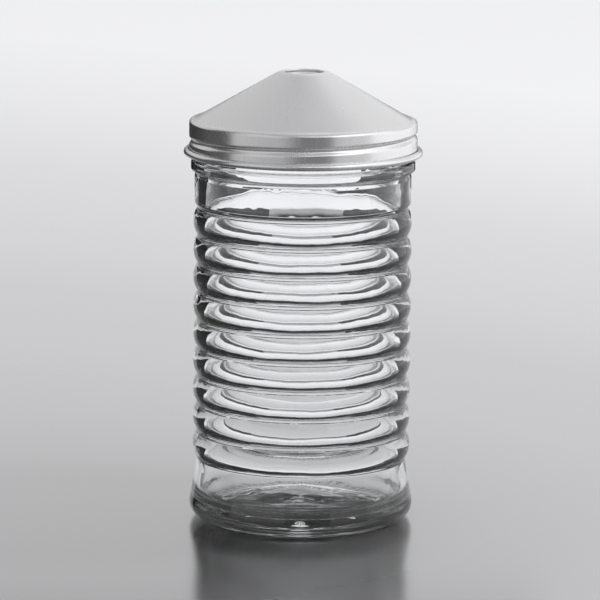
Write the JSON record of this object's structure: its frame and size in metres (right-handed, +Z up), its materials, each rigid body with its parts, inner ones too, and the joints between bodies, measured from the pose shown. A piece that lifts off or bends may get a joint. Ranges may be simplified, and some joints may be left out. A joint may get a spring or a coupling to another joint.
{
  "type": "sugar dispenser with flap",
  "caption": "Ribbed glass sugar pourer with a screw-on cone lid of sheet metal and a weighted flap under the pouring hole.",
  "frame": {"origin": "centre of the ring that the jar stands on, on the table", "axes": "+Z up along the jar's axis; the flap's pin lies along Y on the +X side; the picture is seen from -Y"},
  "size_m": [0.0771, 0.0772, 0.1461],
  "materials": {
    "jar_glass": "clear, polished, slightly wavy",
    "lid_steel": "satin on the cone, rolled and brighter on the skirt",
    "liner": "soft white, matt",
    "hinge_steel": "mill finish",
    "flap_steel": "smooth, bright"
  },
  "bodies": {
    "jar": {"glass_jar": "jar_glass"},
    "liner": {"lid_liner": "liner"},
    "lid": {"lid_shell": "lid_steel", "hinge_bracket": "hinge_steel", "hinge_pin": "hinge_steel"},
    "flap": {"flap": "flap_steel", "flap_weight": "flap_steel"}
  },
  "joints": [
    {"name": "lid_lift", "type": "slide", "parent": "jar", "child": "liner", "axis": [0, 0, 1], "range_m": [0, 0.017]},
    {"name": "lid_turn", "type": "hinge", "parent": "liner", "child": "lid", "pos_m": [0, 0, 0.13], "axis": [0, 0, 1], "range_deg": [0, 1440]},
    {"name": "flap_swing", "type": "hinge", "parent": "lid", "child": "flap", "pos_m": [0.011, 0, 0.13977], "axis": [0, -1, 0], "range_deg": [0, 44]}
  ],
  "couplings": [
    {"joint": "lid_lift", "follows": "lid_turn", "m_per_rad": 0.00067322}
  ]
}
